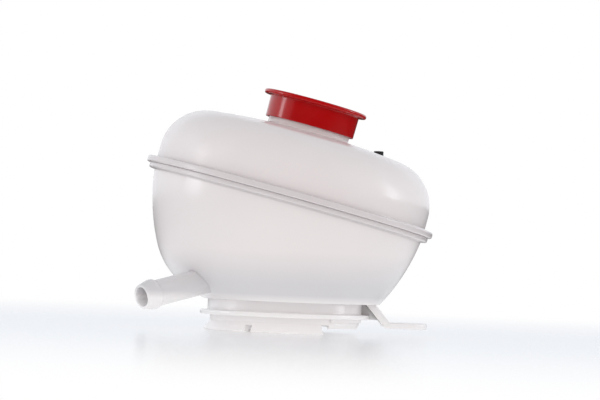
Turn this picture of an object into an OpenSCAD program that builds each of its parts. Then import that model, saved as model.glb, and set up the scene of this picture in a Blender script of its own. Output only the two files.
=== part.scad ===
// Coolant expansion tank: two moulded shells joined at a flanged seam, leaning on a round foot,
// with a push-on filler cap, a barbed hose stub, a bracket leg and a small vent with a rubber cap.
// Millimetres. The origin is the middle of the foot's underside, Z is up and the neck leans toward +X.

/* [Body] */
// Outer radius of the body at the seam
seam_r = 103.4; // [98:0.2:106]
// Lean of the neck from upright, in degrees
lean = 13.2; // [10:0.1:16]
// Wall of both shells
wall = 2.8; // [2.2:0.1:3.4]
// Rise of the dome's top above the seam
crown_top = 52.8; // [48:0.1:58]
// Radius of the nearly flat top
crown_r = 620; // [400:10:1200]
// Radius of the dome's shoulder
shoulder_r = 34.2; // [28:0.2:40]
// Depth of the bowl's round form below the seam
bowl_depth = 92.5; // [88:0.1:94]
// Height of that form's bottom above the foot's underside, if the neck stood upright
bowl_low = 5.6; // [4:0.1:9]
// Height of the level floor that cuts the form off, on its underside
floor_z = 22.7; // [19:0.1:25]
// Radius of the bowl's side, seen in section
side_r = 150; // [135:1:180]
// Draft of the bowl's side at the seam, in degrees
side_draft = 5.4; // [3:0.1:8]
// Radius of the bowl's underside
base_r = 170; // [150:1:220]
// Radius of the turn from side to underside
knuckle_r = 55; // [40:1:60]

/* [Seam flange] */
// Outer radius of the upper lip
lip_r = 110; // [108:0.2:114]
// Thickness of the upper lip
lip_t = 4.7; // [3.5:0.1:6]
// Outer radius of the lower lip
low_lip_r = 107.4; // [106:0.2:109]
// Thickness of the lower lip
low_lip_t = 3.9; // [3:0.1:5]
// Rounding of the lips' edges
lip_round = 1.3; // [0.5:0.1:1.4]

/* [Filler neck and cap] */
// Outer radius of the neck
neck_r = 31; // [28:0.1:33]
// Wall of the neck
neck_wall = 3.6; // [3:0.1:5]
// Height of the neck above the dome's top
neck_h = 20.6; // [18:0.1:26]
// Fillet round the foot of the neck
neck_fillet = 1.8; // [0.5:0.1:3]
// Clearance between the neck and the cap's skirt
cap_fit = 0.12; // [0.08:0.01:0.3]
// Wall of the cap's skirt at its lower edge
cap_wall = 2.6; // [1.6:0.1:3]
// Height of the neck left bare under the cap
neck_bare = 3.6; // [2:0.1:6]
// Overhang of the lip past the cap's skirt
cap_overhang = 5.5; // [3:0.1:8]
// Thickness of the cap's lip
cap_lip_t = 3.4; // [2.5:0.1:5]
// Thickness of the cap's top
cap_top_t = 2.6; // [2:0.1:3.2]
// Rounding of the cap's lip
cap_lip_round = 1.5; // [0.4:0.1:1.6]
// Chamfer of the skirt's lower edge
cap_edge = 0.4; // [0.2:0.05:0.8]
// Draft of the skirt, from its lower edge to the lip
cap_draft = 0.3; // [0:0.05:0.8]
// Radius of the dish in the cap's top
cap_dish_r = 30.4; // [20:0.1:34]
// Depth of the dish
cap_dish = 0.8; // [0.3:0.1:1.2]

/* [Hose stub] */
// Distance of the stub's mouth from the foot's axis
stub_reach = 131.4; // [122:0.1:138]
// Height of the stub's mouth above the foot's underside
stub_z = 22.5; // [20:0.1:28]
// Turn of the stub from -X toward -Y, in degrees
stub_turn = 34.5; // [20:0.5:45]
// Drop of the stub below level, in degrees
stub_drop = 13.4; // [8:0.1:18]
// Outer radius of the stub behind its barb
stub_r = 9.6; // [9:0.05:10.5]
// Radius of the stub's bore
stub_bore_r = 7; // [5.5:0.1:7.5]
// Length of that bore, from the mouth to its wider inner end
stub_bore_run = 47; // [40:0.5:50]
// Radius of the bore's inner end, which the bowl's own core forms
stub_core_r = 7.8; // [7.6:0.1:8.2]
// Rise of the barb above the stub
barb_rise = 1.45; // [0.8:0.05:2]
// Distance of the barb's crest behind the mouth
barb_at = 8.4; // [7:0.1:12]
// Width of the barb's crest
barb_land = 2.2; // [1:0.1:3]

/* [Foot] */
// Outer radius of the collar that carries the bowl
collar_r = 57.5; // [55:0.1:60]
// Inner radius of the foot
foot_bore_r = 52.6; // [51:0.1:54]
// Overhang of the rim past the collar
rim_overhang = 5.6; // [3:0.1:7]
// Height of the rim's underside
rim_z = 11.2; // [10:0.1:13]
// Thickness of the rim
rim_t = 3.4; // [2.5:0.1:4.5]
// Depth of the groove under the rim, inward of the collar
groove_in = 2; // [1.5:0.1:2.4]
// Height of the flared skirt under the groove
skirt_h = 7; // [5:0.1:8]
// Flare of the skirt past the groove, at its lower edge
skirt_flare = 4.8; // [3:0.1:6]
// Height of the gap under the heel, which faces the leg
heel_z = 4; // [2:0.1:4.8]
// Half of the angle that the heel spans, in degrees
heel_half = 56; // [45:1:65]
// Taper of the heel inward of the groove's floor, at its lower edge
heel_in = 1; // [0:0.1:1.5]
// Height of the step round the heel under the rim
heel_line = 2.6; // [1:0.1:4]
// Distance of that step's edge inward of the collar
heel_step = 0.4; // [0.2:0.1:1.2]
// Angle of the notch between the heel and the skirt, in degrees
notch_angle = 8; // [4:1:12]
// Height of the notch
notch_z = 6.6; // [5:0.1:6.9]
// Turn of the two slots that part the skirt into fingers, from +X
slot_turn = 120; // [90:1:150]
// Width of a slot
slot_w = 5.5; // [3:0.1:8]
// Height of a slot
slot_h = 4.8; // [3:0.1:6]
// Height of the well that rises into the bowl
well_h = 55.6; // [40:0.1:65]
// Outer radius of the well at its top
well_r = 39; // [30:0.1:42]
// Outer radius of the well at the foot's underside
well_base_r = 52; // [48:0.1:52]
// Rounding of the well's top edge
well_round = 8; // [5:0.1:10]

/* [Bracket leg] */
// Width of the leg and its tab
leg_w = 26; // [18:1:32]
// Thickness of the leg
leg_t = 5.5; // [4:0.1:6.5]
// Distance of the tab's tip from the foot's axis
tab_reach = 106.5; // [100:0.1:116]
// Height of the tab's underside
tab_z = 5.4; // [3:0.1:7]
// Thickness of the tab
tab_t = 4.5; // [3.5:0.1:5.5]
// Length of the tab from the leg's bend to its tip
tab_run = 28.4; // [24:0.1:32]
// Lean of the leg from upright, in degrees
leg_lean = 41; // [34:1:44]
// Radius of the screw hole in the tab
screw_r = 3.25; // [2:0.05:4.5]
// Thickness of the rib between the leg and the collar
rib_t = 3; // [2:0.1:5]

/* [Vent] */
// Distance of the vent from the neck's axis
vent_at = 79.6; // [74:0.1:88]
// Turn of the vent from +X toward +Y, in degrees
vent_turn = 40.8; // [20:0.1:160]
// Outer radius of the vent spigot
vent_r = 2.5; // [2:0.05:3.5]
// Radius of the vent's bore
vent_bore_r = 1.2; // [0.8:0.05:1.5]
// Height of the vent spigot above the dome
vent_h = 7.2; // [5:0.1:9]
// Wall of the rubber cap on the vent
plug_wall = 1.2; // [0.8:0.05:2]
// Depth of the rubber cap over the spigot
plug_depth = 4.8; // [3:0.1:5]

/* [Hidden] */
$fn = 180;
// Reach of a cutter past the face that it opens
past = 1;
// Segments of the widest arcs
wide_fn = 1440;
// A length beyond the whole tank
far = 400;
// Length of the stub and its bore behind the mouth, with the inner end inside the bowl
bore_deep = 70;
// Chamfer of the stub's mouth, and how much thinner the stub is there
nose_cut = 0.6;
// Length of the leg above its bend, with its upper end inside the bowl's wall
leg_run = 26;
// How far an arc that blends two others stands proud of them, so that they cross
proud = 0.01;
// Depth that a fillet is sunk into the two faces that it joins
sunk = 0.05;
// Depth of the vent's bore below the dome's face
vent_deep = 8;

// Height of the seam's middle above the foot's underside
seam_z = bowl_depth + bowl_low;
// Distance of the leg's bend from the foot's axis
bend_x = tab_reach - tab_run;
// Top of the foot's collar, which reaches the bowl where its form is highest and is cut off inside it
collar_top = seam_z / 2;

// Centres of the arcs in the half section, as distance from the neck's axis and rise above the seam
crown_c = [0, crown_top - crown_r];
shoulder_x = seam_r - shoulder_r;
shoulder_c = [shoulder_x, crown_c.y + sqrt(pow(crown_r - shoulder_r, 2) - pow(shoulder_x, 2))];
side_c = [seam_r - side_r * cos(side_draft), side_r * sin(side_draft)];
base_c = [0, base_r - bowl_depth];
knuckle_c = inner_meet(side_c, side_r - knuckle_r, base_c, base_r - knuckle_r);

cap_n = crown_top + neck_bare;
cap_h = neck_h - neck_bare + cap_top_t;
cap_bore_r = neck_r + cap_fit;
cap_skirt_r = cap_bore_r + cap_wall;
cap_lip_r = cap_skirt_r + cap_overhang;
neck_bore_r = neck_r - neck_wall;
// Drop of the crown below its top at the outer end of the neck's fillet
crown_drop = pow(neck_r + neck_fillet, 2) / (2 * crown_r);

groove_r = collar_r - groove_in;
rim_r = collar_r + rim_overhang;
skirt_r = groove_r + skirt_flare;

// The point right of both centres that lies ra from a and rb from b
function inner_meet(a, ra, b, rb) =
    let(d = norm(b - a), e = (b - a) / d, s = (ra * ra - rb * rb + d * d) / (2 * d))
    a + s * e + sqrt(ra * ra - s * s) * [e.y, -e.x];

// Height of the dome's outer face at a distance r from the neck's axis, beyond the crown
function shoulder_n(r) = shoulder_c.y + sqrt(pow(shoulder_r, 2) - pow(r - shoulder_c.x, 2));

// A point at distance r from c, on the line from c through k
function along(c, k, r) = c + r * (k - c) / norm(k - c);

// The point at height z on the line through p along d
function on_line(p, d, z) = p + (z - p.y) / d.y * d;

// Stands a flat child up in the XZ plane, w thick and centred on the plane
module upright(w) {
    translate([0, w / 2, 0]) rotate([90, 0, 0]) linear_extrude(height = w) children();
}

// Places a child that is drawn about the neck's axis, with the seam at zero height
module in_body() {
    translate([0, 0, seam_z]) rotate([0, lean, 0]) children();
}

// Places a child that is drawn about the stub's axis, with the mouth at zero and the body below it
module at_stub() {
    mouth = [-stub_reach * cos(stub_turn), -stub_reach * sin(stub_turn), stub_z];
    translate(mouth) rotate([0, 90 + stub_drop, 180 + stub_turn]) children();
}

// Places a child that stands upright on the dome at the vent
module at_vent() {
    in_body() rotate([0, 0, vent_turn]) translate([vent_at, 0, shoulder_n(vent_at)])
        rotate([0, 0, -vent_turn]) rotate([0, -lean, 0]) children();
}

// A rectangle from x0 to x1 and y0 to y1 with both corners at x1 rounded
module round_lip(x0, x1, y0, y1, r) {
    translate([x0, y0]) square([x1 - r - x0, y1 - y0]);
    translate([x0, y0 + r]) square([x1 - x0, y1 - y0 - 2 * r]);
    translate([x1 - r, y0 + r]) circle(r = r, $fn = 48);
    translate([x1 - r, y1 - r]) circle(r = r, $fn = 48);
}

// Half section of the dome, filled, with its outline moved in by inset and run below the seam by extra
module dome_half(inset, extra = 0) {
    edge = along(crown_c, shoulder_c, crown_r - inset);
    intersection() {
        translate([0, -extra]) square([far, far]);
        union() {
            translate([0, -extra]) square([seam_r - inset, shoulder_c.y + extra]);
            translate(shoulder_c) circle(r = shoulder_r - inset + proud, $fn = 240);
            intersection() {
                translate(crown_c) circle(r = crown_r - inset, $fn = wide_fn);
                square([edge.x, far]);
            }
        }
    }
}

// Half section of the bowl, filled, with its outline moved in by inset and run above the seam by extra
module bowl_half(inset, extra = 0) {
    side_end = along(side_c, knuckle_c, side_r - inset);
    base_end = along(base_c, knuckle_c, base_r - inset);
    intersection() {
        translate([0, extra - far]) square([far, far]);
        union() {
            intersection() {
                translate(side_c) circle(r = side_r - inset, $fn = wide_fn);
                translate([0, side_end.y]) square([far, extra - side_end.y]);
            }
            translate(knuckle_c) circle(r = knuckle_r - inset + proud, $fn = 360);
            intersection() {
                translate(base_c) circle(r = base_r - inset, $fn = wide_fn);
                translate([0, -far]) square([base_end.x, far]);
            }
        }
    }
}

// Concave fillet in the corner right of x and above y
module fillet_half(x, y, r) {
    difference() {
        translate([x, y]) square([r, r]);
        translate([x + r, y + r]) circle(r = r, $fn = 48);
    }
}

module upper_shell() {
    color([0.93, 0.92, 0.89]) difference() {
        union() {
            in_body() rotate_extrude() {
                dome_half(0);
                round_lip(seam_r - wall, lip_r, 0, lip_t, lip_round);
                square([neck_r, crown_top + neck_h]);
                fillet_half(neck_r - sunk, crown_top - crown_drop - sunk, neck_fillet + sunk);
            }
            at_vent() translate([0, 0, -wall]) cylinder(r = vent_r, h = vent_h + wall, $fn = 48);
        }
        in_body() rotate_extrude() {
            dome_half(wall, past);
            square([neck_bore_r, crown_top + neck_h + past]);
        }
        at_vent() translate([0, 0, -vent_deep]) cylinder(r = vent_bore_r, h = vent_deep + vent_h + past, $fn = 48);
    }
}

// Ring of the foot between two heights, from its bore to the outline given as [radius, height] points
module foot_ring(outline) {
    rotate_extrude() polygon(concat([[foot_bore_r, outline[0].y]], outline,
        [[foot_bore_r, outline[len(outline) - 1].y]]));
}

// Wedge about the X axis that spans half degrees on each side of +X
module wedge(half) {
    reach = 2 * collar_r;
    linear_extrude(height = seam_z) polygon([
        [0, 0], reach * [cos(half), -sin(half)], [2 * reach, 0], reach * [cos(half), sin(half)]]);
}

module foot() {
    // Collar up into the bowl, rim, and the groove's floor
    foot_ring([[groove_r, skirt_h], [groove_r, rim_z], [rim_r, rim_z], [rim_r, rim_z + rim_t],
        [collar_r, rim_z + rim_t], [collar_r, collar_top]]);
    // Flared skirt, open at the heel and at the notches beside it
    difference() {
        foot_ring([[skirt_r, 0], [groove_r, skirt_h]]);
        translate([0, 0, -past]) wedge(heel_half);
        translate([0, 0, notch_z - seam_z]) wedge(heel_half + notch_angle);
        for (turn = [-slot_turn, slot_turn]) {
            rotate([0, 0, turn]) translate([foot_bore_r - past, -slot_w / 2, -past])
                cube([skirt_r - foot_bore_r + 2 * past, slot_w, slot_h + past]);
        }
    }
    // Heel, which tapers inward and ends higher
    intersection() {
        foot_ring([[groove_r - heel_in, heel_z], [groove_r, rim_z - heel_line],
            [collar_r - heel_step, rim_z - heel_line], [collar_r, rim_z]]);
        wedge(heel_half);
    }
}

// Tapered well, with its outline moved in by inset
module well(inset) {
    top = well_h - inset;
    slope = (well_base_r - well_r) / well_h;
    // The rounding touches the slanted side and the top
    r = well_round - inset;
    round_x = well_r - inset + slope * (well_h - top + r) - r * norm([1, slope]);
    round_end = top - r + r * slope / norm([1, slope]);
    rotate_extrude() intersection() {
        polygon([[0, -past], [well_base_r - inset + slope * past, -past], [well_r - inset, well_h], [0, well_h]]);
        union() {
            translate([0, -past]) square([far, round_end + past]);
            translate([0, -past]) square([round_x, top + past]);
            translate([round_x, top - r]) circle(r = r, $fn = 96);
        }
    }
}

// Outside of the hose stub, from its mouth to well inside the bowl
module stub() {
    barb_r = stub_r + barb_rise;
    nose_r = stub_r - nose_cut;
    at_stub() rotate_extrude() {
        polygon([[0, 0], [nose_r - nose_cut, 0], [nose_r, -nose_cut], [barb_r, -barb_at],
            [barb_r, -barb_at - barb_land], [stub_r, -barb_at - barb_land - 2 * barb_rise],
            [stub_r, -bore_deep], [0, -bore_deep]]);
    }
}

module leg() {
    // Direction down the leg, and the face that looks toward the foot
    down = [sin(leg_lean), -cos(leg_lean)];
    inward = leg_t * [-cos(leg_lean), -sin(leg_lean)];
    bend = [bend_x, tab_z + tab_t];
    top = bend - leg_run * down;
    tab_x = tab_reach - leg_w / 2;
    upright(leg_w) polygon([top, bend, bend + [past, 0], bend + [past, -tab_t],
        on_line(bend + inward, down, tab_z), top + inward]);
    difference() {
        translate([0, 0, tab_z]) linear_extrude(height = tab_t) {
            translate([bend_x, -leg_w / 2]) square([tab_x - bend_x, leg_w]);
            translate([tab_x, 0]) circle(r = leg_w / 2);
        }
        translate([tab_x, 0, tab_z - past]) cylinder(r = screw_r, h = tab_t + 2 * past, $fn = 60);
    }
    // Rib from inside the collar to inside the leg, between the rim's underside and the bowl's floor
    rib_x = (foot_bore_r + collar_r) / 2;
    rib_top = floor_z + wall / 2;
    upright(rib_t) polygon([[rib_x, rim_z], on_line(bend + inward / 2, down, rim_z),
        on_line(bend + inward / 2, down, rib_top), [rib_x, rib_top]]);
}

// Keeps what a child has above a level
module above(z) {
    intersection() {
        children();
        translate([0, 0, z]) cylinder(r = 2 * seam_r, h = 2 * seam_z);
    }
}

module lower_shell() {
    color([0.92, 0.91, 0.89]) difference() {
        union() {
            difference() {
                union() {
                    above(floor_z) in_body() rotate_extrude() {
                        bowl_half(0);
                        translate([0, -low_lip_t]) round_lip(seam_r - 2 * wall, low_lip_r, 0, low_lip_t, lip_round);
                    }
                    foot();
                    stub();
                    leg();
                }
                above(floor_z + wall) in_body() rotate_extrude() bowl_half(wall, past);
                // Inside of the foot, up to the floor
                translate([0, 0, -past]) cylinder(r = foot_bore_r, h = floor_z + past);
            }
            above(floor_z) intersection() {
                well(0);
                in_body() rotate_extrude() bowl_half(wall / 2);
            }
        }
        well(wall);
        at_stub() translate([0, 0, -bore_deep]) cylinder(r = stub_bore_r, h = bore_deep + past, $fn = 96);
        at_stub() translate([0, 0, -bore_deep]) cylinder(r = stub_core_r, h = bore_deep - stub_bore_run, $fn = 96);
    }
}

module filler_cap() {
    color([0.72, 0.05, 0.06]) in_body() translate([0, 0, cap_n]) rotate_extrude() difference() {
        union() {
            polygon([[0, 0], [cap_skirt_r - cap_edge, 0], [cap_skirt_r, cap_edge],
                [cap_skirt_r + cap_draft, cap_h - cap_lip_t / 2], [0, cap_h - cap_lip_t / 2]]);
            round_lip(0, cap_lip_r, cap_h - cap_lip_t, cap_h, cap_lip_round);
        }
        translate([0, -past]) square([cap_bore_r, cap_h - cap_top_t + past]);
        translate([0, cap_h - cap_dish]) square([cap_dish_r, past]);
    }
}

module vent_plug() {
    color([0.08, 0.08, 0.08]) at_vent() translate([0, 0, vent_h - plug_depth]) difference() {
        cylinder(r = vent_r + plug_wall, h = plug_depth + plug_wall, $fn = 60);
        translate([0, 0, -past]) cylinder(r = vent_r, h = plug_depth + past, $fn = 60);
    }
}

upper_shell();
lower_shell();
filler_cap();
vent_plug();
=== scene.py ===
"""Dresses the coolant expansion tank: two milky shells, a red cap and a small rubber cap on a vent.

Every shape is a revolve, a swept sector, a prism or a helix worked out with numpy in millimetres,
joined with boolean modifiers that are applied at once, and written to its mesh in metres. Lengths
are in millimetres and angles in degrees, unless a name or a comment says otherwise.
"""

import logging
import math
from dataclasses import dataclass, field
from enum import Enum
from typing import Callable

import bpy
import numpy as np
from mathutils import Matrix, Vector

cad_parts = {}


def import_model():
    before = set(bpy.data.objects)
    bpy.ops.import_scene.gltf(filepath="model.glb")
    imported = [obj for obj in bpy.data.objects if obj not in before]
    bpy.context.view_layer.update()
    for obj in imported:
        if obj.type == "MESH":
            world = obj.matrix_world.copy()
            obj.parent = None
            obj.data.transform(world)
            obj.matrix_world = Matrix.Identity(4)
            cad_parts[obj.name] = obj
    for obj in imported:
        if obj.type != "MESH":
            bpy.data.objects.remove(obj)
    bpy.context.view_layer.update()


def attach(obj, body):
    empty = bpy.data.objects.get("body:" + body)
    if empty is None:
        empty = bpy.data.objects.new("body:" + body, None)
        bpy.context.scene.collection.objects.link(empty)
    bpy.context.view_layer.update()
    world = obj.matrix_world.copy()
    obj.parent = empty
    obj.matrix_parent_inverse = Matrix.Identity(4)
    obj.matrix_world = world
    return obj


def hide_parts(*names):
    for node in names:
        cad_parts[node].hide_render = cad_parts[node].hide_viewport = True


LOG = logging.getLogger("tank")
MM = 0.001
WELD_MM = 1e-4
SHARP_DEG = 34.0
RINGS = 288
BEVEL_STEPS = 3
BEVEL_DEG = 50.0
Array = np.ndarray
Place = Callable[[Array, Array, Array], Array]
Socket = bpy.types.NodeSocket


class Join(Enum):
    """How one closed mesh is joined to another."""

    ADD = "UNION"
    CUT = "DIFFERENCE"
    KEEP = "INTERSECT"


class Slot(Enum):
    """Names of the material slots."""

    SHELL = "milky_shell"
    BOWL = "milky_bowl"
    CAP = "red_cap"
    RUBBER = "black_rubber"


# ---- Curves in the half section -------------------------------------------------------------


def arc(centre: Array, radius: float, start: float, end: float, count: int) -> Array:
    """Points on a circle: centre plus radius times (cos a, sin a), with a from start to end.

    Args:
        centre: Centre of the circle.
        radius: Its radius.
        start: First angle, in radians.
        end: Last angle, in radians.
        count: Number of points.

    Returns:
        An array of count points.
    """
    turn = np.linspace(start, end, count)
    return np.asarray(centre) + radius * np.stack([np.cos(turn), np.sin(turn)], axis=1)


def rounded(points: list, radii: list, steps: int = 6) -> Array:
    """Closed outline with each corner replaced by the arc that touches both of its sides.

    With h half of the corner's angle, the arc starts radius / tan(h) from the corner, and its
    centre lies radius / sin(h) along the line that halves the angle.

    Args:
        points: Corners, single or in arrays, in order round the outline.
        radii: One radius for each entry of points; an array takes its radius for all its points.
        steps: Points on each arc.

    Returns:
        The outline's points, without repeats.
    """
    groups = [np.atleast_2d(np.asarray(p, dtype=float)) for p in points]
    corner = np.vstack(groups)
    radius = np.concatenate([np.full(len(g), r) for g, r in zip(groups, radii)])
    back = np.roll(corner, 1, axis=0) - corner
    ahead = np.roll(corner, -1, axis=0) - corner
    back /= np.linalg.norm(back, axis=1, keepdims=True)
    ahead /= np.linalg.norm(ahead, axis=1, keepdims=True)
    half = np.arccos(np.clip((back * ahead).sum(axis=1), -1, 1)) / 2
    halving = back + ahead
    halving /= np.maximum(np.linalg.norm(halving, axis=1, keepdims=True), 1e-9)
    centre = corner + halving * (radius / np.maximum(np.sin(half), 1e-9))[:, None]
    reach = (radius / np.tan(np.minimum(half, 1.57)))[:, None]
    first = corner + back * reach - centre
    last = corner + ahead * reach - centre
    a = np.arctan2(first[:, 1], first[:, 0])
    sweep = (np.arctan2(last[:, 1], last[:, 0]) - a + np.pi) % (2 * np.pi) - np.pi
    turn = a[:, None] + sweep[:, None] * np.linspace(0, 1, steps)
    ring = centre[:, None, :] + radius[:, None, None] * np.stack([np.cos(turn), np.sin(turn)], axis=2)
    ring = np.where(radius[:, None, None] > 0, ring, corner[:, None, :]).reshape(-1, 2)
    apart = np.linalg.norm(ring - np.roll(ring, 1, axis=0), axis=1) > WELD_MM * 5
    return ring[apart]


def meet_inside(a: Array, ra: float, b: Array, rb: float) -> Array:
    """The point right of both centres that lies ra from a and rb from b.

    It lies (ra^2 - rb^2 + gap^2) / (2 gap) along the line from a to b, and off it to the right.
    """
    gap = np.linalg.norm(b - a)
    unit = (b - a) / gap
    along = (ra * ra - rb * rb + gap * gap) / (2 * gap)
    return a + along * unit + math.sqrt(ra * ra - along * along) * np.array([unit[1], -unit[0]])


def heading(a: Array, b: Array) -> float:
    """Angle of the line from a to b, in radians."""
    return math.atan2(b[1] - a[1], b[0] - a[0])


# ---- Meshes ---------------------------------------------------------------------------------


def weld(points: Array, faces: Array) -> tuple[Array, Array]:
    """Merges points that coincide and drops the triangles that this flattens.

    Args:
        points: Vertices, in millimetres.
        faces: Triangles, as rows of three vertex numbers.

    Returns:
        The merged points and the triangles that are left.
    """
    keys = np.round(points / WELD_MM).astype(np.int64)
    _, first, where = np.unique(keys, axis=0, return_index=True, return_inverse=True)
    faces = where.reshape(-1)[faces]
    whole = (faces[:, 0] != faces[:, 1]) & (faces[:, 1] != faces[:, 2]) & (faces[:, 2] != faces[:, 0])
    return points[first], faces[whole]


def solid(name: str, points: Array, faces: Array) -> bpy.types.Object:
    """Closed mesh object from points in millimetres, turned so that its faces look outwards.

    The volume is the sum over the triangles of a . (b x c) / 6, and a negative one means that
    every face has to be reversed.

    Args:
        name: Name of the object.
        points: Vertices, in millimetres.
        faces: Triangles, as rows of three vertex numbers.

    Returns:
        The new object, at the origin.
    """
    points, faces = weld(points, faces)
    a, b, c = points[faces[:, 0]], points[faces[:, 1]], points[faces[:, 2]]
    if (a * np.cross(b, c)).sum() < 0:
        faces = faces[:, ::-1]
    mesh = bpy.data.meshes.new(name)
    mesh.from_pydata((points * MM).tolist(), [], faces.tolist())
    mesh.validate()
    obj = bpy.data.objects.new(name, mesh)
    bpy.context.scene.collection.objects.link(obj)
    return obj


def grid_faces(rows: int, columns: int, close_rows: bool) -> Array:
    """Triangles of a grid whose columns close on themselves, and its rows too if close_rows.

    Args:
        rows: Number of rows.
        columns: Number of columns.
        close_rows: Whether the last row meets the first.

    Returns:
        Triangles, as rows of three vertex numbers.
    """
    row = np.arange(rows if close_rows else rows - 1)
    i, j = (g.ravel() for g in np.meshgrid(row, np.arange(columns), indexing="ij"))
    i2, j2 = (i + 1) % rows, (j + 1) % columns
    a, b, c, d = i * columns + j, i2 * columns + j, i2 * columns + j2, i * columns + j2
    return np.concatenate([np.stack([a, b, c], axis=1), np.stack([a, c, d], axis=1)])


def upright(radius: Array, height: Array, turn: Array) -> Array:
    """Place of a point about the foot's axis: (r cos t, r sin t, h)."""
    return np.stack([radius * np.cos(turn), radius * np.sin(turn), height], axis=-1)


def spread(outline: Array, turn: Array) -> tuple[Array, ...]:
    """Carries an outline to each turn.

    Args:
        outline: Points of two coordinates.
        turn: The third coordinate, one for each copy of the outline.

    Returns:
        The three coordinates, each as a grid with a row for each turn.
    """
    return tuple(np.broadcast_arrays(outline[None, :, 0], outline[None, :, 1], turn[:, None]))


def revolve(name: str, outline: Array, place: Place = upright, count: int = RINGS) -> bpy.types.Object:
    """Carries a closed outline once round an axis.

    Args:
        name: Name of the object.
        outline: Closed outline of (radius, height) points.
        place: Turns radius, height and angle into a point in millimetres.
        count: Number of steps round the axis.

    Returns:
        The closed solid.
    """
    points = place(*spread(outline, np.linspace(0, 2 * np.pi, count, endpoint=False)))
    return solid(name, points.reshape(-1, 3), grid_faces(count, len(outline), True))


def sector(name: str, outline: Array, hub: tuple, start: float, end: float, count: int) -> bpy.types.Object:
    """Carries a closed outline part of the way round the foot's axis, with a flat cap at each end.

    Args:
        name: Name of the object.
        outline: Closed outline of (radius, height) points.
        hub: Point of the outline's inside from which each cap is fanned.
        start: First angle, in radians.
        end: Last angle, in radians.
        count: Number of steps.

    Returns:
        The closed solid.
    """
    body = upright(*spread(outline, np.linspace(start, end, count)))
    hubs = upright(np.array([hub[0], hub[0]]), np.array([hub[1], hub[1]]), np.array([start, end]))
    columns = len(outline)
    rim = np.arange(columns)
    near = np.stack([rim, (rim + 1) % columns, np.full(columns, count * columns)], axis=1)
    last = (count - 1) * columns
    far = np.stack([last + (rim + 1) % columns, last + rim, np.full(columns, count * columns + 1)], axis=1)
    points = np.vstack([body.reshape(-1, 3), hubs])
    return solid(name, points, np.concatenate([grid_faces(count, columns, False), near, far]))


def prism(name: str, outline: Array, width: float, bevel: float) -> bpy.types.Object:
    """Carries a closed XZ outline along Y, from -width / 2 to width / 2, and rounds its edges.

    Args:
        name: Name of the object.
        outline: Closed outline of (x, z) points.
        width: Width along Y.
        bevel: Radius of the rounding.

    Returns:
        The closed solid.
    """
    count = len(outline)
    x, z, y = spread(outline, np.array([-width / 2, width / 2]))
    points = np.stack([x, y, z], axis=-1).reshape(-1, 3) * MM
    rim = np.arange(count)
    after = (rim + 1) % count
    walls = np.stack([rim, after, after + count, rim + count], axis=1).tolist()
    mesh = bpy.data.meshes.new(name)
    mesh.from_pydata(points.tolist(), [], walls + [rim[::-1].tolist(), (rim + count).tolist()])
    obj = bpy.data.objects.new(name, mesh)
    bpy.context.scene.collection.objects.link(obj)
    modifier = obj.modifiers.new("edge", "BEVEL")
    modifier.width = bevel * MM
    modifier.segments = BEVEL_STEPS
    modifier.limit_method = "ANGLE"
    modifier.angle_limit = math.radians(BEVEL_DEG)
    apply_modifiers(obj)
    return obj


def apply_modifiers(obj: bpy.types.Object) -> None:
    """Replaces an object's mesh with what its modifiers make of it."""
    depsgraph = bpy.context.evaluated_depsgraph_get()
    mesh = bpy.data.meshes.new_from_object(obj.evaluated_get(depsgraph))
    old = obj.data
    obj.modifiers.clear()
    obj.data = mesh
    bpy.data.meshes.remove(old)


def join(obj: bpy.types.Object, tool: bpy.types.Object, how: Join) -> bpy.types.Object:
    """Adds, cuts or intersects obj with tool, which is used up.

    Args:
        obj: The closed mesh that changes.
        tool: The other closed mesh.
        how: What to do with it.

    Returns:
        obj.
    """
    modifier = obj.modifiers.new("join", "BOOLEAN")
    modifier.operation = how.value
    modifier.solver = "MANIFOLD"
    modifier.object = tool
    apply_modifiers(obj)
    bpy.data.objects.remove(tool)
    if not obj.data.polygons:
        raise RuntimeError(f"{how.name} left nothing of {obj.name}")
    return obj


def finish_piece(obj: bpy.types.Object, material: bpy.types.Material, slot: Slot, body: str,
                 *nodes: str) -> bpy.types.Object:
    """Smooths a piece up to its sharp edges, dresses it, and ties it to the frame.

    Args:
        obj: The finished mesh.
        material: Its material.
        slot: The material slot's name; not used.
        body: The CAD body that it rides on.
        *nodes: The CAD nodes that it stands for.

    Returns:
        obj.
    """
    obj.data.name = obj.name
    obj.data.shade_smooth()
    obj.data.set_sharp_from_angle(angle=math.radians(SHARP_DEG))
    obj.data.materials.clear()
    obj.data.materials.append(material)
    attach(obj, body)
    if nodes:
        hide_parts(*nodes)
    LOG.info("%s: %d faces", obj.name, len(obj.data.polygons))
    return obj


# ---- Finishes -------------------------------------------------------------------------------


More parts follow.
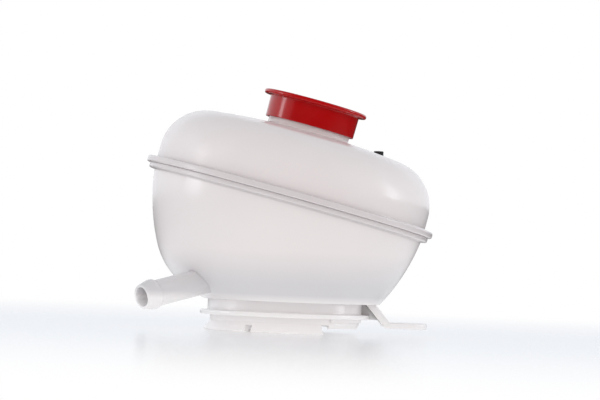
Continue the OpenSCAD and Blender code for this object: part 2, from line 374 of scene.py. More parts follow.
class Sheet:
    """A node tree that is filled from short calls, most of which give back a socket."""

    MIX_A = 6
    MIX_B = 7
    MIX_RESULT = 2
    NOISE_LOW = 0.3
    NOISE_HIGH = 0.7

    def __init__(self, tree: bpy.types.NodeTree) -> None:
        """Empties the tree."""
        self.tree = tree
        tree.nodes.clear()

    def node(self, kind: str, **values: object) -> bpy.types.Node:
        """Adds a node and sets its properties, or its sockets where the value's name is a socket.

        Args:
            kind: Blender's name of the node.
            **values: Property and socket values, with spaces written as underscores.

        Returns:
            The node.
        """
        made = self.tree.nodes.new(kind)
        for key, value in values.items():
            if hasattr(made, key):
                setattr(made, key, value)
        for key, value in values.items():
            if not hasattr(made, key):
                self.put(made.inputs[key.replace("_", " ")], value)
        return made

    def link(self, source: Socket, target: Socket) -> None:
        """Links two sockets."""
        self.tree.links.new(source, target)

    def put(self, target: Socket, value: object) -> None:
        """Links a socket where the value is one, and otherwise sets the value."""
        if isinstance(value, Socket):
            self.link(value, target)
        else:
            target.default_value = value

    def noise(self, where: Socket, scale: float, detail: float = 2.0) -> Socket:
        """Noise on the given coordinates."""
        return self.node("ShaderNodeTexNoise", Scale=scale, Detail=detail, Vector=where).outputs["Fac"]

    def remap(self, value: Socket, start: float, end: float, low: float = 0.0, high: float = 1.0,
              curve: str = "LINEAR") -> Socket:
        """Runs a value along a curve.

        Args:
            value: What is mapped.
            start: Value at which the result is low.
            end: Value at which the result is high.
            low: Result up to start.
            high: Result from end on.
            curve: Blender's name of the curve between them.

        Returns:
            The mapped value.
        """
        made = self.node("ShaderNodeMapRange", interpolation_type=curve)
        for number, given in enumerate((value, start, end, low, high)):
            self.put(made.inputs[number], given)
        return made.outputs[0]

    def between(self, noise: Socket, low: float, high: float) -> Socket:
        """Maps a noise's usual range to low..high."""
        return self.remap(noise, self.NOISE_LOW, self.NOISE_HIGH, low, high)

    def fade(self, value: Socket, start: float, end: float, low: float = 0.0, high: float = 1.0) -> Socket:
        """Runs smoothly from low at start to high at end."""
        return self.remap(value, start, end, low, high, "SMOOTHSTEP")

    def maths(self, operation: str, *values: object) -> Socket:
        """Joins values by one of Blender's maths operations."""
        made = self.node("ShaderNodeMath", operation=operation)
        for target, value in zip(made.inputs, values):
            self.put(target, value)
        return made.outputs[0]

    def colours(self, factor: object, low: object, high: object, how: str = "MIX") -> Socket:
        """Blends two colours by a factor."""
        made = self.node("ShaderNodeMix", data_type="RGBA", blend_type=how)
        for number, value in ((0, factor), (self.MIX_A, low), (self.MIX_B, high)):
            self.put(made.inputs[number], value)
        return made.outputs[self.MIX_RESULT]

    def shade(self, value: Socket, stops: tuple) -> Socket:
        """Colour of a value between stops.

        Args:
            value: What is looked up.
            stops: At least two pairs of a value and its colour, in rising order.

        Returns:
            The colour.
        """
        start, end = stops[0][0], stops[-1][0]
        made = self.node("ShaderNodeValToRGB", Fac=self.remap(value, start, end))
        elements = made.color_ramp.elements
        elements[-1].color = (*stops[-1][1], 1.0)
        elements[0].color = (*stops[0][1], 1.0)
        for place, colour in stops[1:-1]:
            elements.new((place - start) / (end - start)).color = (*colour, 1.0)
        return made.outputs[0]

    def sky(self, level: object, tint: tuple) -> Socket:
        """World light of one tint and of the given strength."""
        return self.node("ShaderNodeBackground", Color=tint, Strength=level).outputs[0]

    def blend(self, factor: Socket, low: Socket, high: Socket) -> Socket:
        """Mixes two shaders by a factor."""
        made = self.node("ShaderNodeMixShader")
        for target, value in zip(made.inputs, (factor, low, high)):
            self.link(value, target)
        return made.outputs[0]


def srgb(*levels: int) -> tuple:
    """Linear colour of 8-bit levels: ((v + 0.055) / 1.055) ** 2.4, or v / 12.92 near black."""
    value = np.array(levels) / 255
    linear = np.where(value > 0.04045, ((value + 0.055) / 1.055) ** 2.4, value / 12.92)
    return (*linear.tolist(), 1.0)


@dataclass(frozen=True)
class PaintedShadeRamp:
    """Painted shade of a milky wall along a direction: colour multipliers, each at its distance from the origin
    in metres.
    """

    direction: tuple
    stops: tuple


@dataclass(frozen=True)
class Moulded:
    """A moulded plastic: two close tones in soft clouds, fine orange peel, a varying gloss and painted shade
    from its ramps.
    """

    name: str
    tone: tuple
    other_tone: tuple
    roughness: float
    rough_spread: float
    peel: float
    cloud_scale: float = 14.0
    cloud_detail: float = 3.0
    gloss_scale: float = 60.0
    peel_scale: float = 420.0
    peel_detail: float = 4.0
    peel_m: float = 0.0002
    ior: float = 1.5
    subsurface: float = 0.0
    depth_m: float = 0.003
    painted_ramps: tuple = ()

    def build(self) -> bpy.types.Material:
        """Makes the material.

        Returns:
            The new material.
        """
        material = bpy.data.materials.new(self.name)
        material.use_nodes = True
        sheet = Sheet(material.node_tree)
        where = sheet.node("ShaderNodeTexCoord").outputs["Object"]
        clouds = sheet.between(sheet.noise(where, self.cloud_scale, self.cloud_detail), 0.0, 1.0)
        tone = sheet.colours(clouds, self.tone, self.other_tone)
        gloss = sheet.between(sheet.noise(where, self.gloss_scale), self.roughness - self.rough_spread,
                              self.roughness + self.rough_spread)
        bump = sheet.node("ShaderNodeBump", Strength=self.peel, Distance=self.peel_m,
                          Height=sheet.noise(where, self.peel_scale, self.peel_detail))
        shader = sheet.node("ShaderNodeBsdfPrincipled", Base_Color=self.shaded(sheet, where, tone),
                            Roughness=gloss, Normal=bump.outputs["Normal"], IOR=self.ior)
        shader.inputs["Subsurface Weight"].default_value = self.subsurface
        shader.inputs["Subsurface Radius"].default_value = (1.0, 1.0, 1.0)
        shader.inputs["Subsurface Scale"].default_value = self.depth_m
        sheet.node("ShaderNodeOutputMaterial", Surface=shader.outputs[0])
        return material

    def shaded(self, sheet: Sheet, where: Socket, tone: Socket) -> Socket:
        """Multiplies the tone by each ramp's painted shade: darker seam lips, and a lower bowl darker than its
        lighter foot.

        Args:
            sheet: The material's nodes.
            where: Place on the object.
            tone: The tone before.

        Returns:
            The shaded tone.
        """
        # Each ramp multiplies the tone by painted shade, which is painted, not lit.
        for ramp in self.painted_ramps:
            along = sheet.node("ShaderNodeVectorMath", operation="DOT_PRODUCT")
            sheet.link(where, along.inputs[0])
            along.inputs[1].default_value = ramp.direction
            tone = sheet.colours(1.0, tone, sheet.shade(along.outputs["Value"], ramp.stops), "MULTIPLY")
        return tone


# A roughness that varies round 0.27 comes out of the denoiser in blotches, so the shells stay below it.
PLAIN = (1.0, 1.0, 1.0)
# Painted shade: the lip multiplier darkens a band across both seam lips all round, for the shade that falls on
# them.
PAINTED_LIP_SHADE = (0.83, 0.83, 0.84)
SIDE = (0.93, 0.903, 0.895)
PAINTED_LOW_SHADE = (0.76, 0.775, 0.79)
SEAM_PAINTED_SHADE = PaintedShadeRamp((0.228351, 0.0, 0.973579),
                 ((0.0895, PLAIN), (0.0908, PAINTED_LIP_SHADE), (0.1002, PAINTED_LIP_SHADE), (0.1015, PLAIN)))
# Painted light and shade by height on the bowl. Below 22.5 mm the foot keeps the full light tone, as painted
# light for light through the milky foot. From 28 to 36 mm the low multiplier paints the shade under the bowl
# and the well's shadow seen through the wall. From 60 mm up the side multiplier gives the bowl its own tone.
HEIGHT_PAINTED_SHADE = PaintedShadeRamp((0.0, 0.0, 1.0),
                   ((0.0, PLAIN), (0.0225, PLAIN), (0.028, PAINTED_LOW_SHADE), (0.036, PAINTED_LOW_SHADE), (0.06, SIDE)))
MILKY_SHELL = Moulded("milky_shell", srgb(240, 233, 232), srgb(238, 230, 229), 0.225, 0.035, 0.1,
                      subsurface=0.5, painted_ramps=(SEAM_PAINTED_SHADE,))
# The bowl's tone is lighter than the shell's because it carries the foot's painted light; the height ramp
# darkens it above the foot.
MILKY_BOWL = Moulded("milky_bowl", srgb(249, 245, 245), srgb(247, 243, 243), 0.225, 0.035, 0.1,
                     subsurface=0.5, painted_ramps=(HEIGHT_PAINTED_SHADE, SEAM_PAINTED_SHADE))
RED_CAP = Moulded("red_cap", srgb(186, 3, 6), srgb(178, 2, 5), 0.13, 0.03, 0.04)
BLACK_RUBBER = Moulded("black_rubber", srgb(30, 30, 32), srgb(38, 38, 40), 0.6, 0.08, 0.3, cloud_scale=200.0)


# ---- The object's own pieces ----------------------------------------------------------------


@dataclass
class Body:
    """The leaning body's half section, as distance from the neck's axis and rise above the seam."""

    seam_r: float = 103.4
    seam_z: float = 98.1
    lean: float = 13.2
    wall: float = 2.8
    crown_top: float = 52.8
    crown_r: float = 620.0
    shoulder_r: float = 34.2
    bowl_depth: float = 92.5
    floor_z: float = 22.7
    side_r: float = 150.0
    side_draft: float = 5.4
    base_r: float = 170.0
    knuckle_r: float = 55.0
    crown_c: Array = field(init=False)
    shoulder_c: Array = field(init=False)
    side_c: Array = field(init=False)
    base_c: Array = field(init=False)
    knuckle_c: Array = field(init=False)

    def __post_init__(self) -> None:
        """Works out the centres of the arcs."""
        draft = math.radians(self.side_draft)
        self.crown_c = np.array([0.0, self.crown_top - self.crown_r])
        shoulder_x = self.seam_r - self.shoulder_r
        rise = math.sqrt((self.crown_r - self.shoulder_r) ** 2 - shoulder_x ** 2)
        self.shoulder_c = np.array([shoulder_x, self.crown_c[1] + rise])
        self.side_c = np.array([self.seam_r - self.side_r * math.cos(draft), self.side_r * math.sin(draft)])
        self.base_c = np.array([0.0, self.base_r - self.bowl_depth])
        self.knuckle_c = meet_inside(self.side_c, self.side_r - self.knuckle_r,
                                     self.base_c, self.base_r - self.knuckle_r)

    def place(self, radius: Array, height: Array, turn: Array) -> Array:
        """Place of a point about the neck's axis, which leans toward +X from the seam's middle."""
        lean = math.radians(self.lean)
        x, y = radius * np.cos(turn), radius * np.sin(turn)
        return np.stack([x * math.cos(lean) + height * math.sin(lean), y,
                         self.seam_z - x * math.sin(lean) + height * math.cos(lean)], axis=-1)

    def dome(self, inset: float, to_radius: float) -> Array:
        """Dome's outline from the top of its straight side in to a distance from the axis.

        Args:
            inset: How far the outline lies inside the outer face.
            to_radius: Distance from the axis at which it ends.

        Returns:
            Points of the shoulder's and the crown's arcs.
        """
        turn = heading(self.crown_c, self.shoulder_c)
        shoulder = arc(self.shoulder_c, self.shoulder_r - inset, 0.0, turn, 40)
        radius = self.crown_r - inset
        crown = arc(self.crown_c, radius, turn, math.acos(to_radius / radius), 12)
        return np.vstack([shoulder, crown[1:]])

    def bowl(self, inset: float, from_height: float) -> Array:
        """Bowl's outline from a height near the seam down to the axis.

        Args:
            inset: How far the outline lies inside the outer face.
            from_height: Height at which it starts.

        Returns:
            Points of the side's, the knuckle's and the underside's arcs.
        """
        side = self.side_r - inset
        first = math.asin((from_height - self.side_c[1]) / side)
        turn = heading(self.side_c, self.knuckle_c)
        last = heading(self.base_c, self.knuckle_c)
        return np.vstack([
            arc(self.side_c, side, first, turn, 34),
            arc(self.knuckle_c, self.knuckle_r - inset, turn, last, 40)[1:],
            arc(self.base_c, self.base_r - inset, last, -math.pi / 2, 24)[1:],
        ])


@dataclass(frozen=True)
class UpperShell:
    """Dome with the seam's upper lip, the filler neck and its thread, and the vent spigot."""

    body: Body
    lip_r: float = 110.0
    lip_t: float = 4.7
    neck_r: float = 31.0
    neck_root_r: float = 29.7
    neck_bore_r: float = 27.4
    neck_h: float = 20.6
    neck_bare: float = 3.6
    neck_fillet: float = 1.8
    thread_start: float = 3.4
    thread_pitch: float = 4.2
    thread_turns: float = 2.75
    thread_steps: int = 96
    thread_run_out: float = 2.1
    vent_at: float = 79.6
    vent_turn: float = 40.8
    vent_r: float = 2.5
    vent_bore_r: float = 1.2
    vent_h: float = 7.2

    def vent_place(self, radius: Array, height: Array, turn: Array) -> Array:
        """Place of a point about the vent's upright axis, from the dome's outer face up."""
        body = self.body
        way = math.radians(self.vent_turn)
        off = self.vent_at - body.shoulder_c[0]
        rise = body.shoulder_c[1] + math.sqrt(body.shoulder_r ** 2 - off ** 2)
        base = body.place(np.array(self.vent_at), np.array(rise), np.array(way))
        return base + upright(radius, height, turn)

    def shell(self) -> bpy.types.Object:
        """Dome, lip and neck as one closed outline carried round the neck's axis."""
        body = self.body
        top = body.crown_top + self.neck_h
        bare = body.crown_top + self.neck_bare
        inner = body.seam_r - body.wall
        outer_face = body.dome(0.0, self.neck_r)
        inner_face = body.dome(body.wall, self.neck_bore_r)[::-1]
        points = [
            (inner, 0), (self.lip_r, 0), (self.lip_r, self.lip_t), (body.seam_r, self.lip_t),
            outer_face[:-1], outer_face[-1], (self.neck_r, bare + 0.8), (self.neck_root_r, bare + 1.8),
            (self.neck_root_r, top), (self.neck_bore_r, top), inner_face[0], inner_face[1:],
        ]
        radii = [0, 1.1, 1.3, 1.2, 0, self.neck_fillet, 0.3, 0.4, 0.7, 0.7, 1.2, 0]
        return revolve("upper_shell_moulding", rounded(points, radii), body.place)

    def thread(self) -> bpy.types.Object:
        """Ridge that climbs the neck: radius root + d(t), height base + pitch t / 2 pi.

        Its section is a trapezoid whose depth d grows and dies over a third of a turn.
        """
        start = self.body.crown_top + self.neck_bare + self.thread_start
        section = rounded([(-0.6, -1.3), (0.1, -1.15), (1.3, -0.45), (1.3, 0.45), (0.1, 1.15), (-0.6, 1.3)],
                          [0, 0.2, 0.25, 0.25, 0.2, 0], 4)
        count = int(self.thread_steps * self.thread_turns)
        t = np.linspace(0, 2 * np.pi * self.thread_turns, count)[:, None]
        ends = np.clip(np.minimum(t, t[-1] - t) / self.thread_run_out, 0.02, 1)
        ends = ends * ends * (3 - 2 * ends)
        depth = np.where(section[None, :, 0] > 0, section[None, :, 0] * ends, section[None, :, 0])
        height = start + self.thread_pitch * t / (2 * np.pi) + section[None, :, 1]
        points = self.body.place(self.neck_root_r + depth, height, t + 0 * depth).reshape(-1, 3)
        columns = len(section)
        rim = np.arange(1, columns - 1)
        near = np.stack([0 * rim, rim, rim + 1], axis=1)
        far = np.stack([0 * rim, rim + 1, rim], axis=1) + (count - 1) * columns
        return solid("thread", points, np.concatenate([grid_faces(count, columns, False), near, far]))

    def spigot(self) -> bpy.types.Object:
        """Vent spigot with a rounded tip and a small flare at its root."""
        body = self.body
        outline = rounded([(0, -body.wall), (self.vent_r + 1.4, -body.wall), (self.vent_r + 1.4, -0.2),
                           (self.vent_r, 1.0), (self.vent_r, self.vent_h), (0, self.vent_h)],
                          [0, 0, 0, 0.8, 0.5, 0])
        return revolve("spigot", outline, self.vent_place, 48)

    def build(self) -> bpy.types.Object:
        """Joins the pieces of the moulding and bores the vent.

        Returns:
            The finished upper shell.
        """
        obj = self.shell()
        join(obj, self.thread(), Join.ADD)
        join(obj, self.spigot(), Join.ADD)
        r, tip = self.vent_bore_r, self.vent_h + 1
        bore = np.array([[0, -8], [r, -8], [r, tip], [0, tip]])
        join(obj, revolve("bore", bore, self.vent_place, 36), Join.CUT)
        return finish_piece(obj, MILKY_SHELL.build(), Slot.SHELL, "tank", "upper_shell")


@dataclass(frozen=True)
class LowerShell:
    """Bowl with the seam's lower lip, the hose stub, the snap-in foot, the well and the leg."""

    body: Body
    lip_r: float = 107.4
    lip_t: float = 3.9
    stub_reach: float = 131.4
    stub_z: float = 22.5
    stub_turn: float = 34.5
    stub_drop: float = 13.4
    stub_r: float = 9.6
    stub_bore_r: float = 7.0
    stub_bore_run: float = 47.0
    stub_core_r: float = 7.8
    stub_deep: float = 70.0
    barb_rise: float = 1.45
    barb_at: float = 8.4
    barb_land: float = 2.2
    collar_r: float = 57.5
    collar_top: float = 44.0
    foot_bore_r: float = 52.6
    rim_r: float = 63.1
    rim_z: float = 11.2
    rim_t: float = 3.4
    groove_r: float = 55.5
    skirt_h: float = 7.0
    skirt_r: float = 60.3
    heel_z: float = 4.0
    heel_half: float = 56.0
    notch_angle: float = 8.0
    slot_turn: float = 120.0
    slot_w: float = 5.5
    slot_h: float = 4.8
    well_h: float = 55.6
    well_r: float = 39.0
    well_base_r: float = 52.0
    well_round: float = 8.0
    leg_w: float = 26.0
    leg_t: float = 5.5
    tab_reach: float = 106.5
    tab_z: float = 5.4
    tab_t: float = 4.5
    bend_x: float = 78.1
    leg_lean: float = 41.0
    leg_run: float = 26.0
    screw_r: float = 3.25
    rib_t: float = 3.0

    def stub_place(self, radius: Array, height: Array, turn: Array) -> Array:
        """Place of a point about the stub's axis, from its mouth back into the body."""
        way, drop = math.radians(self.stub_turn), math.radians(self.stub_drop)
        out = np.array([-math.cos(way) * math.cos(drop), -math.sin(way) * math.cos(drop), -math.sin(drop)])
        side = np.array([math.sin(way), -math.cos(way), 0.0])
        over = np.cross(out, side)
        mouth = np.array([-self.stub_reach * math.cos(way), -self.stub_reach * math.sin(way), self.stub_z])
        return (mouth + height[..., None] * out + (radius * np.cos(turn))[..., None] * side
                + (radius * np.sin(turn))[..., None] * over)

    def above(self, obj: bpy.types.Object, level: float) -> bpy.types.Object:
        """Keeps what an object has above a level."""
        reach, top = 2 * self.body.seam_r, 2 * self.body.seam_z
        block = revolve("above", np.array([[0, level], [reach, level], [reach, top], [0, top]]))
        return join(obj, block, Join.KEEP)

    def bowl(self) -> bpy.types.Object:
        """Bowl and lip, filled up to the seam, with a level floor."""
        body = self.body
        face = body.bowl(0.0, -self.lip_t)
        outline = rounded([(0, 0), (self.lip_r, 0), (self.lip_r, -self.lip_t), face[0], face[1:]],
                          [0, 0.9, 1.2, 1.2, 0])
        return self.above(revolve("lower_shell_moulding", outline, body.place), body.floor_z)

    def cavity(self) -> bpy.types.Object:
        """The bowl's inside, run a little past the seam."""
        body = self.body
        face = body.bowl(body.wall, 0.0)
        whole = revolve("cavity", rounded([(0, 1), (face[0, 0], 1), face], [0, 0, 0]), body.place)
        return self.above(whole, body.floor_z + body.wall)

    def foot(self) -> list[bpy.types.Object]:
        """Collar with its rim, the flared skirt, and the heel, which tapers inward and ends higher.

        Returns:
            The three closed solids.
        """
        bore = self.foot_bore_r
        low, rim_top = self.skirt_h - 0.4, self.rim_z + self.rim_t
        ring = rounded(
            [(bore, low), (self.groove_r, low), (self.groove_r, self.rim_z), (self.rim_r, self.rim_z),
             (self.rim_r, rim_top), (self.collar_r, rim_top), (self.collar_r, self.collar_top),
             (bore, self.collar_top)],
            [0, 0, 0.6, 0.5, 0.9, 0.9, 0, 0])
        skirt = rounded([(bore, 0), (self.skirt_r, 0), (self.groove_r, self.skirt_h), (bore, self.skirt_h)],
                        [0.3, 0.6, 0.2, 0])
        line, top = self.rim_z - 2.6, self.rim_z + 0.5
        heel = rounded([(bore, self.heel_z), (self.groove_r - 1, self.heel_z), (self.groove_r, line),
                        (self.collar_r - 0.4, line), (self.collar_r, top), (bore, top)],
                       [0.3, 0.4, 0.3, 0.3, 0, 0])
        half = math.radians(self.heel_half)
        open_half = math.radians(self.heel_half + self.notch_angle)
        flare = sector("skirt", skirt, (bore + 2, 3), open_half, 2 * math.pi - open_half, 200)
        out = self.skirt_r + 1
        slot = rounded([(bore - 1, -1), (out, -1), (out, self.slot_h), (bore - 1, self.slot_h)], [0, 0, 0, 0])
        slot_half = self.slot_w / (bore + self.skirt_r)
        for middle in (math.radians(self.slot_turn), math.radians(360 - self.slot_turn)):
            tool = sector("slot", slot, (bore + 2, 2), middle - slot_half, middle + slot_half, 4)
            join(flare, tool, Join.CUT)
        hub = (bore + 1.4, self.rim_z - 1.7)
        return [revolve("ring", ring), flare, sector("heel", heel, hub, -half, half, 100)]

    def stub(self) -> bpy.types.Object:
        """Hose stub with its chamfered nose and its barb."""
        r = self.stub_r
        crest = r + self.barb_rise
        land = -self.barb_at - self.barb_land
        outline = rounded(
            [(0, 0), (r - 1.2, 0), (r - 0.6, -0.6), (crest, -self.barb_at), (crest, land),
             (r, land - 2 * self.barb_rise), (r, -self.stub_deep), (0, -self.stub_deep)],
            [0, 0.25, 0.25, 0.5, 0.5, 1.2, 0, 0])
        return revolve("stub", outline, self.stub_place, 96)

    def tab_place(self, radius: Array, height: Array, turn: Array) -> Array:
        """Place of a point about the screw hole's axis."""
        return upright(radius, height, turn) + np.array([self.tab_reach - self.leg_w / 2, 0, 0])

    def leg(self) -> list[bpy.types.Object]:
        """Leg, its tab with a round end, and the rib to the collar.

        Returns:
            The closed solids.
        """
        lean = math.radians(self.leg_lean)
        down = np.array([math.sin(lean), -math.cos(lean)])
        inward = self.leg_t * np.array([-math.cos(lean), -math.sin(lean)])
        bend = np.array([self.bend_x, self.tab_z + self.tab_t])
        top = bend - self.leg_run * down
        inner = bend + inward
        tab_x = self.tab_reach - self.leg_w / 2
        heel = inner + (self.tab_z - inner[1]) / down[1] * down
        tab_top = self.tab_z + self.tab_t
        plate = rounded([top, bend, (tab_x, tab_top), (tab_x, self.tab_z), heel, top + inward],
                        [0, 2.5, 0, 0, 5.0, 0])
        tab = rounded([(0, self.tab_z), (self.leg_w / 2, self.tab_z), (self.leg_w / 2, tab_top), (0, tab_top)],
                      [0, 0.6, 0.6, 0])
        rib_x = (self.foot_bore_r + self.collar_r) / 2
        middle = bend + inward / 2
        low = middle + (self.rim_z - middle[1]) / down[1] * down
        rib_top = self.body.floor_z + self.body.wall / 2
        high = middle + (rib_top - middle[1]) / down[1] * down
        rib = np.array([[rib_x, self.rim_z + 0.2], low, high, [rib_x, rib_top]])
        return [prism("plate", plate, self.leg_w, 0.6),
                revolve("tab", tab, self.tab_place, 96),
                prism("rib", rib, self.rib_t, 0.3)]

    def well(self, inset: float) -> bpy.types.Object:
        """Tapered well that rises from the foot, with its outline moved in by inset.

        Args:
            inset: How far the outline lies inside the well's outer face.

        Returns:
            The closed solid.
        """
        slope = (self.well_base_r - self.well_r) / self.well_h
        top = self.well_h - inset
        base = self.well_base_r - inset + slope
        outline = rounded([(0, -1), (base, -1), (self.well_r - inset, top), (0, top)],
                          [0, 0, self.well_round - inset, 0], 20)
        return revolve("well", outline)

    def build(self) -> bpy.types.Object:
        """Joins the pieces of the moulding, hollows it, and opens its holes.

        Returns:
            The finished lower shell.
        """
        body = self.body
        obj = self.bowl()
        for part in [*self.foot(), self.stub(), *self.leg()]:
            join(obj, part, Join.ADD)
        join(obj, self.cavity(), Join.CUT)
        r, top = self.foot_bore_r, body.floor_z
        under = np.array([[0, -1], [r, -1], [r, top], [0, top]])
        join(obj, revolve("under", under), Join.CUT)
        well = self.well(0.0)
        face = body.bowl(body.wall / 2, 0.0)
        join(well, revolve("limit", rounded([(0, 0), face], [0, 0]), body.place), Join.KEEP)
        join(obj, self.above(well, body.floor_z + body.wall / 2), Join.ADD)
        join(obj, self.well(body.wall), Join.CUT)
        r, deep, run = self.stub_bore_r, -self.stub_deep, -self.stub_bore_run
        bore = rounded([(0, deep), (self.stub_core_r, deep), (self.stub_core_r, run), (r, run),
                        (r, -0.6), (r + 0.9, 0.3), (r + 0.9, 1), (0, 1)], [0, 0, 0.3, 0.2, 0.4, 0, 0, 0])
        join(obj, revolve("bore", bore, self.stub_place, 96), Join.CUT)
        hole = np.array([[0, 0], [self.screw_r, 0], [self.screw_r, 12], [0, 12]])
        join(obj, revolve("hole", hole, self.tab_place, 64), Join.CUT)
        return finish_piece(obj, MILKY_BOWL.build(), Slot.BOWL, "tank", "lower_shell")


@dataclass(frozen=True)
class FillerCap:
    """Push-on red cap with a smooth skirt, an overhanging lip and a shallow dish."""

    body: Body
    foot_h: float = 56.4
    height: float = 19.6
    bore_r: float = 31.12
    wall: float = 2.6
    overhang: float = 5.5
    lip_t: float = 3.4
    top_t: float = 2.6
    dish_r: float = 30.4
    dish: float = 0.8

    def build(self) -> bpy.types.Object:
        """Carries the cap's outline round the neck's axis.

        Returns:
            The finished cap.
        """
        low, high = self.foot_h, self.foot_h + self.height
        skirt = self.bore_r + self.wall
        lip = skirt + self.overhang
        outline = rounded(
            [(self.bore_r, low), (skirt, low), (skirt + 0.3, high - self.lip_t), (lip, high - self.lip_t),
             (lip, high), (self.dish_r, high), (self.dish_r - 0.4, high - self.dish), (0, high - self.dish),
             (0, high - self.top_t), (self.bore_r, high - self.top_t)],
            [0.3, 0.5, 0.9, 1.5, 1.5, 0.5, 0.4, 0, 0, 0.6])
        obj = revolve("filler_cap_moulding", outline, self.body.place)
        return finish_piece(obj, RED_CAP.build(), Slot.CAP, "cap", "filler_cap")


@dataclass(frozen=True)
class VentPlug:
    """Rubber cap pushed over the vent spigot."""

    shell: UpperShell
    wall: float = 1.2
    depth: float = 4.8

    def build(self) -> bpy.types.Object:
        """Carries the rubber cap's outline round the vent's axis.

        Returns:
            The finished plug.
        """
        bore = self.shell.vent_r
        low = self.shell.vent_h - self.depth
        high = self.shell.vent_h
        outline = rounded([(bore, low), (bore + self.wall, low), (bore + self.wall, high + self.wall),
                           (0, high + self.wall), (0, high), (bore, high)], [0, 0.4, 0.7, 0, 0, 0])
        obj = revolve("vent_plug_rubber", outline, self.shell.vent_place, 72)
        return finish_piece(obj, BLACK_RUBBER.build(), Slot.RUBBER, "tank", "vent_plug")


# ---- The studio -----------------------------------------------------------------------------


WHITE = (1.0, 1.0, 1.0, 1.0)
GREY = (0.5, 0.5, 0.5, 1.0)
WARM_LIGHT = (1.0, 0.975, 0.965, 1.0)
COOL_LIGHT = (0.875, 0.94, 1.0, 1.0)
ROOM_TINT = (0.94, 0.96, 1.0, 1.0)
SENSOR_MM = 36.0
FLOOR_REACH_M = 30.0
CAMERA_REACH_M = 100.0


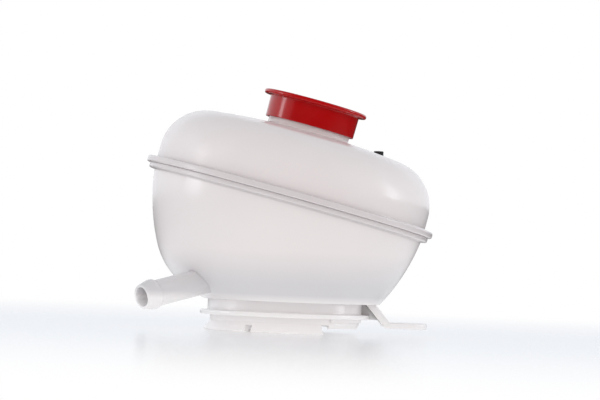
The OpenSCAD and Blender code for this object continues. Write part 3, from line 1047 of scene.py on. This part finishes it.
@dataclass(frozen=True)
class Studio:
    """Pale floor, white tent of light and the camera."""

    distance: float = 3000.0
    azimuth: float = -3.0
    eye_z: float = 62.0
    roll: float = 2.3
    mm_per_px: float = 0.746
    foot_px: tuple = (283.8, 331.45)
    frame_px: tuple = (600, 400)
    front_level: float = 1.12
    back_level: float = 1.02
    top_dip: float = 0.38
    front_gloss: float = 0.04
    top_gloss: float = 0.25
    strip_gloss: float = 5.0
    strip_lift: float = 0.3
    floor_glow: float = 0.5
    floor_tone: tuple = srgb(251, 251, 252)
    floor_gloss: float = 0.14
    floor_ior: float = 1.4
    white_m: tuple = (0.2, 1.3)
    dim_m: tuple = (0.15, 0.6)
    lamp_size: tuple = (0.9, 1.2)
    lamp_place: tuple = (1.4, -0.4, 0.6)
    lamp_target: tuple = (0.0, 0.0, 0.12)
    left_watts: float = 0.6
    right_watts: float = 0.2

    def camera(self) -> None:
        """Camera at the photograph's angle: level eye line, turned so that its middle is the frame's."""
        turn, roll = math.radians(self.azimuth), math.radians(self.roll)
        right = Vector((math.cos(turn), math.sin(turn), 0))
        toward = Vector((math.sin(turn), -math.cos(turn), 0))
        up = Vector((0, 0, 1))
        focal = self.distance / self.mm_per_px
        cos, sin = math.cos(roll), math.sin(roll)
        level = self.eye_z / self.mm_per_px
        eye_px = (self.foot_px[0] + sin * level, self.foot_px[1] - cos * level)
        dx, dy = self.frame_px[0] / 2 - eye_px[0], self.frame_px[1] / 2 - eye_px[1]
        look = (-toward * focal + right * (cos * dx + sin * dy) + up * (sin * dx - cos * dy)).normalized()
        across = right * cos + up * sin
        across = (across - look * across.dot(look)).normalized()
        over = across.cross(look)
        data = bpy.data.cameras.new("camera")
        data.sensor_width = SENSOR_MM
        data.lens = focal * data.sensor_width / self.frame_px[0]
        data.clip_end = CAMERA_REACH_M
        obj = bpy.data.objects.new("camera", data)
        bpy.context.scene.collection.objects.link(obj)
        turn_matrix = Matrix((across, over, -look)).transposed().to_4x4()
        place = toward * self.distance + up * self.eye_z
        obj.matrix_world = Matrix.Translation(place * MM) @ turn_matrix
        bpy.context.scene.camera = obj

    def floor(self) -> None:
        """Pale floor that turns white away from the object and keeps its shadow."""
        reach = FLOOR_REACH_M
        mesh = bpy.data.meshes.new("floor")
        mesh.from_pydata([(-reach, -reach, 0), (reach, -reach, 0), (reach, reach, 0), (-reach, reach, 0)], [],
                         [(0, 1, 2, 3)])
        obj = bpy.data.objects.new("floor", mesh)
        bpy.context.scene.collection.objects.link(obj)
        material = bpy.data.materials.new("pale_floor")
        material.use_nodes = True
        sheet = Sheet(material.node_tree)
        away = sheet.node("ShaderNodeVectorMath", operation="LENGTH")
        sheet.link(sheet.node("ShaderNodeTexCoord").outputs["Object"], away.inputs[0])
        far = away.outputs["Value"]
        plain = sheet.node("ShaderNodeBsdfPrincipled", Roughness=self.floor_gloss, IOR=self.floor_ior,
                           Base_Color=self.floor_tone)
        under = sheet.node("ShaderNodeBsdfDiffuse", Color=GREY)
        glow = sheet.node("ShaderNodeEmission", Strength=self.floor_glow)
        lit = sheet.node("ShaderNodeAddShader")
        sheet.link(under.outputs[0], lit.inputs[0])
        sheet.link(glow.outputs[0], lit.inputs[1])
        white = sheet.node("ShaderNodeEmission", Strength=1.0)
        dim = sheet.node("ShaderNodeEmission", Strength=self.front_gloss)
        seen = sheet.blend(sheet.fade(far, *self.white_m), plain.outputs[0], white.outputs[0])
        mirrored = sheet.blend(sheet.fade(far, *self.dim_m), lit.outputs[0], dim.outputs[0])
        rays = sheet.node("ShaderNodeLightPath")
        unseen = sheet.blend(rays.outputs["Is Glossy Ray"], lit.outputs[0], mirrored)
        sheet.node("ShaderNodeOutputMaterial", Surface=sheet.blend(rays.outputs["Is Camera Ray"], unseen, seen))
        obj.data.materials.append(material)

    def tent(self) -> None:
        """World light, by the direction's share toward the back and up.

        Diffuse light is a plain tent: a little brighter and warmer in front, cooler at the sides
        and behind, and dimmer above. Mirrored light comes from a room that is bright behind, has a
        bright strip on each side, and is dark in front. The camera sees white.
        """
        world = bpy.data.worlds.new("tent")
        bpy.context.scene.world = world
        world.cycles.sampling_method = "NONE"
        world.use_nodes = True
        sheet = Sheet(world.node_tree)
        apart = sheet.node("ShaderNodeSeparateXYZ")
        sheet.link(sheet.node("ShaderNodeTexCoord").outputs["Generated"], apart.inputs[0])
        back, up = apart.outputs["Y"], apart.outputs["Z"]
        level = sheet.maths("SUBTRACT", sheet.fade(back, -1.0, 0.4, self.front_level, self.back_level),
                            sheet.fade(up, 0.2, 1.0, 0.0, self.top_dip))
        light = sheet.blend(sheet.fade(back, -0.7, 0.0), sheet.sky(level, WARM_LIGHT),
                            sheet.sky(level, COOL_LIGHT))
        aside = sheet.maths("MULTIPLY_ADD", up, self.strip_lift, sheet.maths("ABSOLUTE", back))
        behind = sheet.maths("MULTIPLY", sheet.fade(back, -0.75, 0.1, self.front_gloss, 1.0),
                             sheet.fade(up, 0.3, 0.95, 1.0, self.top_gloss))
        gloss = sheet.maths("ADD", behind, sheet.fade(aside, 0.05, 0.2, self.strip_gloss, 0.0))
        rays = sheet.node("ShaderNodeLightPath")
        mirrored = sheet.blend(rays.outputs["Is Glossy Ray"], light, sheet.sky(gloss, ROOM_TINT))
        seen = sheet.maths("MAXIMUM", rays.outputs["Is Camera Ray"], rays.outputs["Is Transmission Ray"])
        sheet.node("ShaderNodeOutputWorld", Surface=sheet.blend(seen, mirrored, sheet.sky(1.0, WHITE)))

    def lamp(self, name: str, side: float, power: float) -> None:
        """Adds an area lamp that faces the object.

        Args:
            name: Name of the lamp.
            side: -1 to the left of the object, 1 to its right.
            power: Its power, in watts.
        """
        data = bpy.data.lights.new(name, "AREA")
        data.shape = "RECTANGLE"
        data.size, data.size_y = self.lamp_size
        data.energy = power
        obj = bpy.data.objects.new(name, data)
        bpy.context.scene.collection.objects.link(obj)
        place = Vector((side * self.lamp_place[0], *self.lamp_place[1:]))
        obj.location = place
        obj.rotation_euler = (Vector(self.lamp_target) - place).to_track_quat("-Z", "Y").to_euler()

    def build(self) -> None:
        """Builds the studio."""
        bpy.context.scene.view_settings.view_transform = "Standard"
        self.camera()
        self.floor()
        self.tent()
        self.lamp("left_box", -1.0, self.left_watts)
        self.lamp("right_box", 1.0, self.right_watts)


def main() -> None:
    """Builds the studio and the tank."""
    logging.basicConfig(level=logging.INFO, format="%(name)s: %(message)s")
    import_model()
    Studio().build()
    body = Body()
    upper = UpperShell(body)
    upper.build()
    LowerShell(body).build()
    FillerCap(body).build()
    VentPlug(upper).build()


if __name__ == "__main__":
    main()
